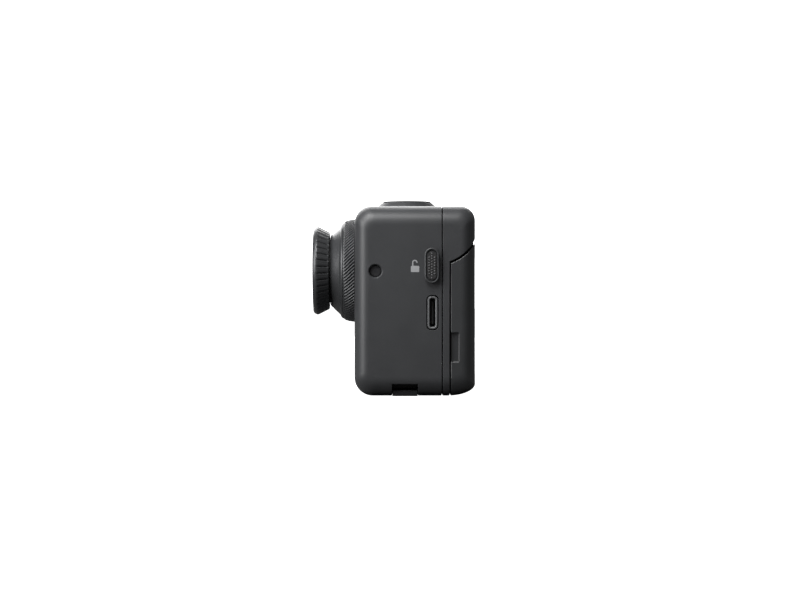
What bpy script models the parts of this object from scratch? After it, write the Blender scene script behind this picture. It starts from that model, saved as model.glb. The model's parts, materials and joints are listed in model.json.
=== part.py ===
"""Action camera: two-part housing, lens with a twist-off guard, flip-up rear screen, side lock slider.

Metres, +Z up. The lens looks along -X and the camera's own left side is -Y.
The origin is the centre of the mount plate's underside. The sizes below are in millimetres,
and point() turns them into metres.
"""

import math

import bmesh
import bpy
from mathutils import Matrix, Vector

MM = 0.001
GAP = 0.3

# Housing: its outline seen from the side, and how the two sides round off.
FRONT_X, REAR_X = -13.9, 19.2
TOP_Z = 52.0
HALF_WIDTH = 36.0
WALL = 1.5
CORNERS = {
    "rear_top": (4.0, 4.0),
    "front_top": (4.7, 4.7),
    "front_low": (5.0, 5.0),
    "rear_low": (7.7, 3.3),
}
SIDE_ROUND_X, SIDE_ROUND_Z, SIDE_ROUND_Y = 4.0, 5.4, 7.0
ROUND_POWER = 2 / 2.3
CORNER_STEPS, SIDE_STEPS = 5, 6
PAST_Y, PAST_Z = (-50, 50), (-5, 60)

# Seams: the full-height one, and the one round the flip screen.
SEAM_X, SEAM_GAP = 10.1, 0.25
SCREEN_SEAM_X, SCREEN_GAP = 12.3, 0.3
ARC_X, ARC_Z, ARC_RADIUS, ARC_GAP = 8.0, 48.5, 12.75, 0.6

# Two ribs on the rear housing keep light out of the seam round the screen.
SEAM_RIB_Y, SEAM_RIB_HEIGHT, SEAM_RIB_ROOT = (27.4, 28.2), 0.6, 0.4
SEAM_RIB_LOW, SEAM_RIB_END = 0.6, 18.4

# Lens, all about one axis along X.
LENS_Y, LENS_Z = -16.0, 34.5
LENS_SIDES = 40

# Screen hinge, along Y.
HINGE_X, HINGE_Z = 15.4, 47.4
KNUCKLE_RADIUS, ARM_HALF_WIDTH, SLOT_HALF_WIDTH = 3.4, 8.0, 8.4
BLADE_X, BLADE_FOOT = (13.8, 17.0), 33.0
SHAFT_RADIUS, SHAFT_BORE = 1.2, 1.5

# Controls and ports.
SHUTTER_X, SHUTTER_Y = 0.6, 7.0
POWER_X, POWER_Z = -2.5, 44.6
SLIDER_X, SLIDER_Z, SLIDER_WIDTH, SLIDER_HEIGHT = 7.25, 35.6, 4.0, 9.7
SLIDER_TRAVEL, STEM_REACH = 2.0, 1.7
USB_X, USB_Z = 7.45, 22.8
MIC_X, MIC_Z, MIC_RADIUS = -8.1, 34.1, 1.65
CASE_SCREW_Y, CASE_SCREW_Z = 31.0, 8.0

# Battery door on the right side, hinged along X at its foot.
DOOR_X = (-9.1, 3.9)
DOOR_TOP, DOOR_HINGE_Y, DOOR_HINGE_Z, DOOR_KNUCKLE = 40.6, 34.9, 7.0, 1.1
PIN_RADIUS, PIN_BORE = 0.45, 0.75

# Mount groove along the bottom.
GROOVE_X = (-3.6, 3.5)
PLATE_TOP, LATCH_TOP, PLATE_END, LATCH_INNER, PLATE_GAP = 1.66, 3.37, 33.0, 27.0, 0.1
RIB_X, RIB_TOP = (-5.6, 5.2), 4.9
MOUNT_SCREW_Y, MOUNT_MAGNET_Y = 22.0, 14.0


def clear_scene():
    for obj in list(bpy.data.objects):
        bpy.data.objects.remove(obj, do_unlink=True)


def make_material(name, colour, roughness, metallic=0.0):
    material = bpy.data.materials.new(name)
    material.use_nodes = True
    shader = material.node_tree.nodes["Principled BSDF"]
    shader.inputs["Base Color"].default_value = (*colour, 1.0)
    shader.inputs["Roughness"].default_value = roughness
    shader.inputs["Metallic"].default_value = metallic
    return material


def make_palette():
    return {
        "housing": make_material("housing", (0.040, 0.042, 0.045), 0.55),
        "soft_black": make_material("soft_black", (0.020, 0.020, 0.022), 0.70),
        "lens_ring": make_material("lens_ring", (0.055, 0.057, 0.060), 0.40, 0.6),
        "glass": make_material("glass", (0.60, 0.65, 0.70), 0.05),
        "screen_glass": make_material("screen_glass", (0.012, 0.012, 0.015), 0.08),
        "steel": make_material("steel", (0.55, 0.56, 0.58), 0.30, 1.0),
        "board": make_material("board", (0.03, 0.14, 0.07), 0.50),
        "chip": make_material("chip", (0.05, 0.05, 0.06), 0.35),
        "battery": make_material("battery", (0.12, 0.12, 0.13), 0.50),
        "magnet": make_material("magnet", (0.45, 0.45, 0.47), 0.25, 1.0),
        "alloy": make_material("alloy", (0.42, 0.43, 0.45), 0.40, 1.0),
    }


def point(x, y, z):
    return Vector((x, y, z)) * MM


def finish(name, bm, material):
    """The bmesh as a named, smooth-shaded object in the scene."""
    bmesh.ops.recalc_face_normals(bm, faces=bm.faces)
    mesh = bpy.data.meshes.new(name)
    bm.to_mesh(mesh)
    bm.free()
    mesh.shade_smooth()
    mesh.set_sharp_from_angle(angle=math.radians(32))
    obj = bpy.data.objects.new(name, mesh)
    bpy.context.scene.collection.objects.link(obj)
    if material is not None:
        mesh.materials.append(material)
    return obj


def place(axis, along, u, v):
    """A point from its distance along an axis and its two other coordinates, in X, Y, Z order."""
    if axis == "X":
        return point(along, u, v)
    if axis == "Y":
        return point(u, along, v)
    return point(u, v, along)


def prism(name, outline, axis, low, high, material=None):
    """A closed outline in the plane across the axis, extruded from low to high."""
    bm = bmesh.new()
    ends = [[bm.verts.new(place(axis, along, u, v)) for u, v in outline] for along in (low, high)]
    bm.faces.new(ends[0])
    bm.faces.new(ends[1])
    for i in range(len(outline)):
        j = (i + 1) % len(outline)
        bm.faces.new((ends[0][i], ends[0][j], ends[1][j], ends[1][i]))
    return finish(name, bm, material)


def block(name, xs, ys, zs, material=None):
    outline = [(xs[0], zs[0]), (xs[1], zs[0]), (xs[1], zs[1]), (xs[0], zs[1])]
    return prism(name, outline, "Y", ys[0], ys[1], material)


def turned(name, profile, axis, centre, sides, material=None):
    """A profile of (along, radius) points turned about an axis; it is closed by the axis or by itself."""
    bm = bmesh.new()
    rings = []
    for along, radius in profile:
        if radius == 0:
            rings.append([bm.verts.new(place(axis, along, *centre))] * sides)
            continue
        turns = [2 * math.pi * k / sides for k in range(sides)]
        ring = [(centre[0] + radius * math.cos(t), centre[1] + radius * math.sin(t)) for t in turns]
        rings.append([bm.verts.new(place(axis, along, u, v)) for u, v in ring])
    closed = profile[0][1] != 0
    for i in range(len(rings) if closed else len(rings) - 1):
        first, second = rings[i], rings[(i + 1) % len(rings)]
        for k in range(sides):
            m = (k + 1) % sides
            corners = [first[k], first[m], second[m], second[k]]
            bm.faces.new(list(dict.fromkeys(corners)))
    return finish(name, bm, material)


def disc(name, axis, centre, radius, low, high, sides=24, material=None):
    profile = [(low, 0), (low, radius), (high, radius), (high, 0)]
    return turned(name, profile, axis, centre, sides, material)


def hoop(name, axis, centre, inner, outer, low, high, sides=24, material=None):
    profile = [(low, inner), (low, outer), (high, outer), (high, inner)]
    return turned(name, profile, axis, centre, sides, material)


def arc(centre, radii, start, end, steps):
    turns = [math.radians(start + (end - start) * k / steps) for k in range(steps + 1)]
    return [(centre[0] + radii[0] * math.cos(t), centre[1] + radii[1] * math.sin(t)) for t in turns]


def stadium(centre, width, height, steps=6):
    """A slot outline with round ends, longer along its second axis."""
    radius = width / 2
    reach = (height - width) / 2
    top = arc((centre[0], centre[1] + reach), (radius, radius), 0, 180, steps)
    return top + arc((centre[0], centre[1] - reach), (radius, radius), 180, 360, steps)


def rounded(us, vs, radius, steps=3):
    low_u, high_u, low_v, high_v = us[0] + radius, us[1] - radius, vs[0] + radius, vs[1] - radius
    corners = [(high_u, high_v, 0), (low_u, high_v, 90), (low_u, low_v, 180), (high_u, low_v, 270)]
    outline = []
    for u, v, start in corners:
        outline += arc((u, v), (radius, radius), start, start + 90, steps)
    return outline


def plate(name, xs, ys, zs, radius, material):
    """A flat piece across X with rounded corners."""
    return prism(name, rounded(ys, zs, radius), "X", xs[0], xs[1], material)


def boolean(obj, operation, tool):
    modifier = obj.modifiers.new(tool.name, "BOOLEAN")
    modifier.operation = operation
    modifier.solver = "EXACT"
    modifier.object = tool
    tool.hide_render = True
    tool.display_type = "WIRE"
    return obj


def cut(obj, tool):
    return boolean(obj, "DIFFERENCE", tool)


def keep(obj, tool):
    return boolean(obj, "INTERSECT", tool)


def join(obj, tool):
    return boolean(obj, "UNION", tool)


def pivot(name, x, y, z, pieces):
    """An empty on a joint's axis that carries the pieces which move about it."""
    empty = bpy.data.objects.new(name, None)
    empty.location = point(x, y, z)
    bpy.context.scene.collection.objects.link(empty)
    for piece in pieces:
        piece.parent = empty
        piece.matrix_parent_inverse = Matrix.Translation(-empty.location)


def side_outline(inset_x, inset_z):
    """The housing's outline seen from the side, drawn in by the two insets."""
    low_x, high_x, low_z, high_z = FRONT_X + inset_x, REAR_X - inset_x, inset_z, TOP_Z - inset_z
    outline = []
    for name, start in (("rear_top", 0), ("front_top", 90), ("front_low", 180), ("rear_low", 270)):
        radius_x = max(CORNERS[name][0] - 0.6 * inset_x, 2.0)
        radius_z = max(CORNERS[name][1] - 0.6 * inset_z, 2.0)
        x = high_x - radius_x if "rear" in name else low_x + radius_x
        z = high_z - radius_z if "top" in name else low_z + radius_z
        outline += arc((x, z), (radius_x, radius_z), start, start + 90, CORNER_STEPS)
    return outline


def housing_form(name, inset):
    """The whole camera's outer form, or the hollow that lies one wall inside it."""
    half = HALF_WIDTH - inset
    stations = []
    for k in range(SIDE_STEPS + 1):
        turn = math.pi / 2 * k / SIDE_STEPS
        y = half - SIDE_ROUND_Y + SIDE_ROUND_Y * math.sin(turn) ** ROUND_POWER
        stations.append((y, 1 - math.cos(turn) ** ROUND_POWER if k < SIDE_STEPS else 1.0))
    stations = [(-y, share) for y, share in reversed(stations)] + stations
    bm = bmesh.new()
    rings = []
    for y, share in stations:
        outline = side_outline(inset + SIDE_ROUND_X * share, inset + SIDE_ROUND_Z * share)
        rings.append([bm.verts.new(point(x, y, z)) for x, z in outline])
    bm.faces.new(rings[0])
    bm.faces.new(rings[-1])
    for first, second in zip(rings, rings[1:]):
        for i in range(len(first)):
            j = (i + 1) % len(first)
            bm.faces.new((first[i], first[j], second[j], second[i]))
    return finish(name, bm, None)


def below_arc(name, low_x, radius):
    """Everything behind low_x and under the curved split: the room that the flip screen takes."""
    far_x = REAR_X + 1.1
    start = math.degrees(math.acos((far_x - ARC_X) / radius))
    end = math.degrees(math.acos((low_x - ARC_X) / radius))
    curve = arc((ARC_X, ARC_Z), (radius, radius), -start, -end, 12)
    outline = [(low_x, -3.0), (far_x, -3.0)] + curve
    return prism(name, outline, "Y", -40, 40)


def seam_rib(name, side, room):
    """The rib on one side, or, with some room round it, the groove that it runs in."""
    rise = SEAM_RIB_HEIGHT + room
    near_x, near_radius = SCREEN_SEAM_X - SCREEN_GAP / 2, ARC_RADIUS - ARC_GAP / 2
    end_x = SEAM_RIB_END + room

    def curve(low_x, radius):
        start = math.degrees(math.acos((low_x - ARC_X) / radius))
        end = math.degrees(math.acos((end_x - ARC_X) / radius))
        return arc((ARC_X, ARC_Z), (radius, radius), -start, -end, 12)

    inner = [(near_x - SEAM_RIB_ROOT, SEAM_RIB_LOW - room)]
    inner += curve(near_x - SEAM_RIB_ROOT, near_radius - SEAM_RIB_ROOT)
    outer = [(near_x + rise, SEAM_RIB_LOW - room)] + curve(near_x + rise, near_radius + rise)
    ys = sorted((side * (SEAM_RIB_Y[0] - room), side * (SEAM_RIB_Y[1] + room)))
    return prism(name, inner + outer[::-1], "Y", *ys)


def front_housing(colours):
    housing = housing_form("front_housing", 0)
    housing.data.materials.append(colours["housing"])
    keep(housing, block("front_half", (-30, SEAM_X - SEAM_GAP / 2), PAST_Y, PAST_Z))
    hollow = housing_form("front_hollow", WALL)
    cut(hollow, block("mount_rib", RIB_X, PAST_Y, (-5, RIB_TOP)))
    for side in (-1, 1):
        boss_y = sorted((side * 28.6, side * 36.0))
        cut(hollow, block(f"screw_boss_{side}", (5.9, 8.6), boss_y, (-5, 11.4)))
    cut(housing, hollow)
    cut(housing, disc("lens_opening", "X", (LENS_Y, LENS_Z), 12.6, -16, -11, LENS_SIDES))
    cut(housing, prism("display_opening", rounded((8, 26), (28, 40), 2.0), "X", -16, -11))
    for k in range(3):
        slot = rounded((19, 29), (9.2 + 2.2 * k, 10.2 + 2.2 * k), 0.45)
        cut(housing, prism(f"speaker_slot_{k}", slot, "X", -16, -11))
    cut(housing, disc("shutter_opening", "Z", (SHUTTER_X, SHUTTER_Y), 8.0, 48, 54, 36))
    cut(housing, disc("power_opening", "Y", (POWER_X, POWER_Z), 2.7, 33, 38))
    mic = [(-38, 0), (-38, MIC_RADIUS + 2.2), (-35.8, MIC_RADIUS), (-33, MIC_RADIUS), (-33, 0)]
    cut(housing, turned("mic_opening", mic, "Y", (MIC_X, MIC_Z), 24))
    slot_zs = (SLIDER_Z - STEM_REACH - SLIDER_TRAVEL - GAP, SLIDER_Z + STEM_REACH + GAP)
    cut(housing, block("slider_slot", (6.2, 8.3), (-38, -33), slot_zs))
    width, height = (USB_X - 1.7, USB_X + 1.7), (USB_Z - 4.78, USB_Z + 4.78)
    cut(housing, prism("usb_opening", rounded(width, height, 1.35, 4), "Y", -38, -33))
    add_mount_groove(housing)
    add_door_opening(housing)
    for side in (-1, 1):
        at = (side * CASE_SCREW_Y, CASE_SCREW_Z)
        cut(housing, disc(f"screw_hole_{side}", "X", at, 1.1, 5.0, 12.0, 16))
    return housing


def add_mount_groove(housing):
    ends = (-PLATE_END - GAP, PLATE_END + GAP)
    cut(housing, block("plate_groove", GROOVE_X, ends, (-3, PLATE_TOP + GAP)))
    for side in (-1, 1):
        ys = sorted((side * LATCH_INNER, side * 40))
        cut(housing, block(f"latch_slot_{side}", GROOVE_X, ys, (-3, LATCH_TOP)))
        cut(housing, disc(f"magnet_pocket_{side}", "Z", (0, side * MOUNT_MAGNET_Y), 3.2, -1, 3.8))
        cut(housing, disc(f"mount_hole_{side}", "Z", (0, side * MOUNT_SCREW_Y), 0.9, -1, 4.3, 16))


def add_door_opening(housing):
    xs = (DOOR_X[0] - GAP, DOOR_X[1] + GAP)
    foot = DOOR_HINGE_Z - DOOR_KNUCKLE - GAP
    cut(housing, block("door_opening", xs, (33, 40), (foot, DOOR_TOP + GAP)))
    pin_at = (DOOR_HINGE_Y, DOOR_HINGE_Z)
    cut(housing, disc("pin_hole", "X", pin_at, PIN_BORE, DOOR_X[0] - 1.2, DOOR_X[1] + 1.2, 16))
    cut(housing, block("door_nail_recess", (0.6, 3.4), (35.2, 40), (DOOR_TOP, DOOR_TOP + 1.4)))


def rear_housing(colours):
    """The strip behind the full-height seam and the hump that holds the screen's hinge."""
    housing = housing_form("rear_housing", 0)
    housing.data.materials.append(colours["housing"])
    keep(housing, block("rear_half", (SEAM_X + SEAM_GAP / 2, 30), PAST_Y, PAST_Z))
    cut(housing, below_arc("screen_room", SCREEN_SEAM_X - SCREEN_GAP / 2, ARC_RADIUS - ARC_GAP / 2))
    cut(housing, block("hinge_slot", (11.6, 30), (-SLOT_HALF_WIDTH, SLOT_HALF_WIDTH), (20, 60)))
    for side in (-1, 1):
        ys = sorted((side * 9.9, side * 33.0))
        cut(housing, plate(f"hump_pocket_{side}", (9.0, 17.4), ys, (41.4, 50.2), 1.5, None))
        sink = [(9.0, 0), (9.0, 1.1), (11.1, 1.1), (11.1, 2.2), (13.0, 2.2), (13.0, 0)]
        at = (side * CASE_SCREW_Y, CASE_SCREW_Z)
        cut(housing, turned(f"case_sink_{side}", sink, "X", at, 20))
        join(housing, seam_rib(f"seam_rib_{side}", side, 0))
    cut(housing, disc("shaft_hole", "Y", (HINGE_X, HINGE_Z), SHAFT_BORE, -12, 12, 20))
    return housing


def lens_group(colours):
    """Base ring, cone, barrel and glass, from the housing outwards."""
    at = (LENS_Y, LENS_Z)
    base = [(-17.2, 11.3), (-17.2, 13.5), (-16.6, 13.88), (-15.6, 14.2), (-14.0, 14.4)]
    base += [(-14.0, 12.3), (-12.2, 12.3), (-12.2, 11.3)]
    turned("lens_base_ring", base, "X", at, LENS_SIDES, colours["lens_ring"])
    cone = [(-20.8, 9.15), (-20.8, 9.83), (-18.1, 12.33), (-17.7, 13.17), (-17.3, 13.4)]
    cone += [(-17.3, 8.2), (-20.2, 8.2), (-20.2, 9.15)]
    turned("lens_cone", cone, "X", at, LENS_SIDES, colours["lens_ring"])
    barrel = [(-23.6, 7.0), (-23.6, 8.85), (-20.5, 8.85), (-20.5, 7.9), (-3.0, 7.9), (-3.0, 5.4)]
    barrel += [(-18.4, 5.4), (-18.4, 7.0)]
    turned("lens_barrel", barrel, "X", at, 36, colours["soft_black"])
    front = [(-23.3, 0), (-23.1, 2.4), (-22.4, 4.8), (-21.2, 6.7), (-19.6, 6.7), (-19.6, 4.6), (-20.6, 0)]
    turned("front_element", front, "X", at, 36, colours["glass"])
    middle = [(-14.6, 0), (-14.2, 3.2), (-13.4, 5.1), (-12.2, 5.1), (-11.6, 0)]
    turned("middle_element", middle, "X", at, 30, colours["glass"])
    rear = [(-8.4, 0), (-8.0, 4.2), (-7.6, 5.1), (-6.2, 5.1), (-5.6, 0)]
    turned("rear_element", rear, "X", at, 30, colours["glass"])
    plate("image_sensor", (-2.7, -1.4), (-23.0, -9.0), (29.0, 40.0), 0.4, colours["chip"])
    plate("sensor_board", (-1.1, -0.1), (-27.0, -5.2), (24.0, 45.0), 1.0, colours["board"])


def lens_guard(colours):
    """The twist-off guard: a ring that holds a flat glass in front of the lens."""
    at = (LENS_Y, LENS_Z)
    ring = [(-25.3, 10.5), (-25.6, 10.9), (-25.6, 11.5), (-25.2, 12.0), (-24.4, 12.32), (-23.2, 11.8)]
    ring += [(-22.1, 11.25), (-21.1, 10.76), (-21.1, 9.2), (-23.3, 9.2), (-23.3, 10.5)]
    pieces = [turned("guard_ring", ring, "X", at, LENS_SIDES, colours["lens_ring"])]
    pieces.append(hoop("guard_gasket", "X", at, 9.4, 10.2, -23.9, -23.5, 36, colours["soft_black"]))
    pieces.append(disc("guard_glass", "X", at, 10.2, -24.9, -24.1, 36, colours["glass"]))
    pieces.append(hoop("guard_retaining_ring", "X", at, 9.5, 10.25, -25.5, -25.1, 36, colours["lens_ring"]))
    pivot("guard_axis", -23.4, LENS_Y, LENS_Z, pieces)


def shutter(colours):
    at = (SHUTTER_X, SHUTTER_Y)
    collar = [(49.4, 2.8), (49.4, 7.7), (52.25, 7.7), (52.25, 8.45), (53.3, 8.45), (54.4, 7.35)]
    collar += [(54.4, 7.25), (50.3, 7.25), (50.3, 2.8)]
    turned("shutter_collar", collar, "Z", at, 40, colours["housing"])
    button = [(54.65, 0), (54.68, 4.0), (54.8, 6.3), (54.8, 6.8), (54.65, 6.95), (51.2, 6.95), (51.2, 2.3)]
    button += [(48.6, 2.3), (48.6, 0)]
    cap = turned("shutter_button", button, "Z", at, 40, colours["soft_black"])
    pivot("shutter_axis", SHUTTER_X, SHUTTER_Y, 54.8, [cap])
    xs, ys = (SHUTTER_X - 2.5, SHUTTER_X + 2.5), (SHUTTER_Y - 2.5, SHUTTER_Y + 2.5)
    block("shutter_switch", xs, ys, (45.9, 47.6), colours["chip"])


def power(colours):
    at = (POWER_X, POWER_Z)
    button = [(36.25, 0), (36.25, 2.0), (36.0, 2.4), (33.6, 2.4), (33.6, 2.9), (33.0, 2.9), (33.0, 0)]
    cap = turned("power_button", button, "Y", at, 28, colours["soft_black"])
    pivot("power_axis", POWER_X, 36.0, POWER_Z, [cap])
    xs, zs = (POWER_X - 1.8, POWER_X + 1.8), (POWER_Z - 1.5, POWER_Z + 1.5)
    block("power_switch", xs, (30.4, 32.0), zs, colours["chip"])


def lock_slider(colours):
    """A raised knob that slides along Z, with a stem through the wall to a bolt inside."""
    at = (SLIDER_X, SLIDER_Z)
    outline = stadium(at, SLIDER_WIDTH, SLIDER_HEIGHT, 8)
    knob = prism("lock_slider", outline, "Y", -37.3, -36.2, colours["housing"])
    stem_zs = (SLIDER_Z - STEM_REACH, SLIDER_Z + STEM_REACH)
    stem = block("slider_stem", (6.5, 8.0), (-36.7, -33.5), stem_zs)
    join(knob, stem)
    cut(knob, prism("pad_recess", stadium(at, 2.95, 8.1, 8), "Y", -38, -36.75))
    pad = prism("lock_pad", stadium(at, 2.65, 7.8, 8), "Y", -37.2, -36.85, colours["soft_black"])
    outline = [(-33.2, 33.4), (-32.2, 33.4), (-32.2, 37.2), (-30.6, 38.0), (-30.6, 39.4), (-33.2, 39.4)]
    bolt = prism("lock_bolt", outline, "X", 6.1, 8.4, colours["steel"])
    pivot("slider_axis", SLIDER_X, -36.2, SLIDER_Z, [knob, pad, bolt])
    leaf = [(-30.0, 32.0), (-29.7, 32.0), (-29.7, 36.2), (-30.1, 37.7), (-29.7, 39.2), (-29.7, 41.0)]
    leaf += [(-30.0, 41.0), (-30.0, 39.3), (-30.4, 37.7), (-30.0, 36.1)]
    prism("lock_spring", leaf, "X", 5.35, 7.9, colours["steel"])


def usb_inlet(colours):
    width, height = (USB_X - 1.425, USB_X + 1.425), (USB_Z - 4.5, USB_Z + 4.5)
    shell = prism("usb_shell", rounded(width, height, 1.1, 4), "Y", -35.9, -28.5, colours["steel"])
    width, height = (USB_X - 0.75, USB_X + 0.75), (USB_Z - 3.85, USB_Z + 3.85)
    cut(shell, prism("usb_mouth", rounded(width, height, 0.5), "Y", -38, -29.2))
    xs, zs = (USB_X - 0.3, USB_X + 0.3), (USB_Z - 3.2, USB_Z + 3.2)
    block("usb_tongue", xs, (-34.2, -29.5), zs, colours["chip"])


def microphone(colours):
    disc("mic_mesh", "Y", (MIC_X, MIC_Z), MIC_RADIUS - 0.15, -34.95, -34.6, 24, colours["steel"])
    xs, zs = (MIC_X - 1.2, MIC_X + 1.6), (MIC_Z - 1.9, MIC_Z + 1.9)
    block("microphone", xs, (-34.1, -32.9), zs, colours["chip"])


def boards(colours):
    plate("chassis_plate", (3.2, 3.9), (-32.5, 32.0), (5.4, 44.5), 1.5, colours["alloy"])
    plate("main_board", (4.3, 5.3), (-32.0, 31.6), (5.6, 44.5), 1.5, colours["board"])
    plate("processor_shield", (5.6, 7.4), (-8.0, 16.0), (14.0, 36.0), 1.0, colours["alloy"])
    plate("heat_spreader", (9.0, 9.7), (-27.5, 27.5), (5.0, 44.0), 1.5, colours["alloy"])
    plate("speaker", (-12.0, -9.8), (18.0, 30.0), (8.0, 15.6), 1.0, colours["chip"])


def front_display(colours):
    plate("display_window", (-13.85, -12.8), (8.3, 25.7), (28.3, 39.7), 1.8, colours["screen_glass"])
    plate("status_display", (-12.1, -11.1), (7.0, 27.0), (27.0, 41.0), 1.0, colours["chip"])


def power_store(colours):
    """Battery and memory card, reached through the door on the right side."""
    bay = block("battery_bay", (-9.0, 2.4), (-4.2, 33.5), (5.2, 36.2), colours["alloy"])
    join(bay, block("bay_flange", (-9.9, 4.0), (32.5, 33.5), (5.2, 41.3)))
    cut(bay, block("bay_hollow", (-8.3, 1.7), (-3.4, 40), (6.2, 35.5)))
    cut(bay, block("reader_hole", (-8.7, 3.0), (30, 40), (37.1, 39.9)))
    block("battery", (-8.0, 1.4), (-3.0, 32.8), (6.6, 35.1), colours["battery"])
    reader = block("card_reader", (-8.5, 2.8), (16.5, 32.8), (37.4, 39.6), colours["alloy"])
    cut(reader, block("card_slot", (-8.25, 2.55), (17.5, 40), (37.9, 39.1)))
    block("memory_card", (-8.1, 2.4), (18.0, 33.1), (38.1, 38.9), colours["chip"])
    outline = rounded((-9.0, 3.8), (8.9, DOOR_TOP - 0.2), 1.4)
    seal = prism("door_seal", outline, "Y", 33.8, 34.3, colours["soft_black"])
    cut(seal, prism("seal_hole", rounded((-8.4, 3.2), (9.5, DOOR_TOP - 0.8), 0.9), "Y", 30, 38))


def battery_door(colours):
    """A flush door whose foot is rolled round its pin."""
    axis = (DOOR_HINGE_Y, DOOR_HINGE_Z)
    inner_y = 34.7
    rise = math.degrees(math.acos((inner_y - DOOR_HINGE_Y) / DOOR_KNUCKLE))
    roll = arc(axis, (DOOR_KNUCKLE, DOOR_KNUCKLE), rise, 360, 14)
    outline = [(HALF_WIDTH, DOOR_TOP), (inner_y, DOOR_TOP)] + roll
    door = prism("battery_door", outline, "X", DOOR_X[0], DOOR_X[1], colours["housing"])
    cut(door, disc("door_bore", "X", axis, PIN_BORE, DOOR_X[0] - 2, DOOR_X[1] + 2, 16))
    pivot("door_axis", 0, DOOR_HINGE_Y, DOOR_HINGE_Z, [door])
    disc("door_pin", "X", axis, PIN_RADIUS, DOOR_X[0] - 0.9, DOOR_X[1] + 0.9, 12, colours["steel"])


def mount(colours):
    xs, ys = (GROOVE_X[0] + PLATE_GAP, GROOVE_X[1] - PLATE_GAP), (-PLATE_END, PLATE_END)
    bar = block("mount_plate", xs, ys, (0, PLATE_TOP), colours["steel"])
    for side, name in ((-1, "left"), (1, "right")):
        at = (0, side * MOUNT_SCREW_Y)
        sink = [(-1, 0), (-1, 1.9), (0.8, 1.9), (0.8, 0.9), (3, 0.9), (3, 0)]
        cut(bar, turned(f"screw_sink_{name}", sink, "Z", at, 20))
        screw = [(0.15, 0), (0.15, 1.6), (0.6, 1.6), (0.6, 0.6), (4.0, 0.6), (4.0, 0)]
        turned(f"mount_screw_{name}", screw, "Z", at, 20, colours["steel"])
        at = (0, side * MOUNT_MAGNET_Y)
        disc(f"mount_magnet_{name}", "Z", at, 2.9, PLATE_TOP + 0.31, 3.5, 24, colours["magnet"])


def case_joint(colours):
    """The gasket between the housings and the two screws that pull them together."""
    gasket = housing_form("housing_gasket", WALL + GAP)
    gasket.data.materials.append(colours["soft_black"])
    cut(gasket, housing_form("gasket_hole", WALL + GAP + 0.7))
    keep(gasket, block("gasket_slice", (9.1, 9.8), PAST_Y, PAST_Z))
    for side, name in ((-1, "left"), (1, "right")):
        at = (side * CASE_SCREW_Y, CASE_SCREW_Z)
        screw = [(11.95, 0), (11.95, 1.8), (11.4, 1.8), (11.4, 0.8), (5.9, 0.8), (5.9, 0)]
        turned(f"case_screw_{name}", screw, "X", at, 20, colours["steel"])


def hinge(colours):
    at = (HINGE_X, HINGE_Z)
    disc("hinge_shaft", "Y", at, SHAFT_RADIUS, -14.5, 14.5, 20, colours["steel"])
    for side, name in ((-1, "left"), (1, "right")):
        near, far = sorted((side * 10.2, side * 13.4))
        hoop(f"friction_cup_{name}", "Y", at, 1.5, 1.9, near, far, 24, colours["alloy"])


def flip_screen(colours):
    """The screen hangs under the hump on an arm and swings up about the hinge shaft."""
    shell = housing_form("screen_shell", 0)
    shell.data.materials.append(colours["housing"])
    keep(shell, below_arc("screen_form", SCREEN_SEAM_X + SCREEN_GAP / 2, ARC_RADIUS + ARC_GAP / 2))
    cut(shell, plate("screen_hollow", (13.65, 18.1), (-32.5, 32.5), (3.0, 35.6), 2.5, None))
    cut(shell, plate("glass_opening", (17.9, 21.0), (-30.7, 30.7), (4.3, 38.9), 2.8, None))
    cut(shell, block("arm_opening", (13.4, 17.4), (-SLOT_HALF_WIDTH, SLOT_HALF_WIDTH), (34, 42)))
    for side in (-1, 1):
        ys = sorted((side * 35.2, side * 40))
        cut(shell, prism(f"nail_recess_{side}", rounded((10.0, 14.6), (9.4, 17.4), 0.5), "Y", *ys))
        cut(shell, seam_rib(f"rib_groove_{side}", side, GAP))
    pieces = [shell]
    flat = [
        ("screen_glass", (18.4, 19.1), (-30.4, 30.4), (4.6, 38.6), 2.5, "screen_glass"),
        ("display_panel", (17.3, 18.0), (-29.5, 29.5), (6.0, 35.0), 1.0, "chip"),
        ("screen_board", (14.3, 15.3), (-28.0, 28.0), (6.0, 31.0), 1.0, "board"),
    ]
    pieces += [plate(*shape, colours[colour]) for *shape, colour in flat]
    for side, name in ((-1, "left"), (1, "right")):
        ys = sorted((side * 28.6, side * 31.6))
        pieces.append(plate(f"screen_magnet_{name}", (14.0, 16.4), ys, (5.4, 12.4), 0.5, colours["magnet"]))
    pieces.append(hinge_arm(colours))
    pivot("hinge_axis", HINGE_X, 0, HINGE_Z, pieces)


def hinge_arm(colours):
    reach = math.degrees(math.asin((BLADE_X[1] - HINGE_X) / KNUCKLE_RADIUS))
    head = arc((HINGE_X, HINGE_Z), (KNUCKLE_RADIUS, KNUCKLE_RADIUS), -90 + reach, 270 - reach, 20)
    outline = head + [(BLADE_X[0], BLADE_FOOT), (BLADE_X[1], BLADE_FOOT)]
    arm = prism("hinge_arm", outline, "Y", -ARM_HALF_WIDTH, ARM_HALF_WIDTH, colours["alloy"])
    return cut(arm, disc("arm_bore", "Y", (HINGE_X, HINGE_Z), SHAFT_BORE, -12, 12, 20))


def main():
    clear_scene()
    colours = make_palette()
    front_housing(colours)
    rear_housing(colours)
    lens_group(colours)
    lens_guard(colours)
    shutter(colours)
    power(colours)
    lock_slider(colours)
    usb_inlet(colours)
    microphone(colours)
    boards(colours)
    front_display(colours)
    power_store(colours)
    battery_door(colours)
    mount(colours)
    case_joint(colours)
    hinge(colours)
    flip_screen(colours)


main()
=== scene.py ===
import json
import math

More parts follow.
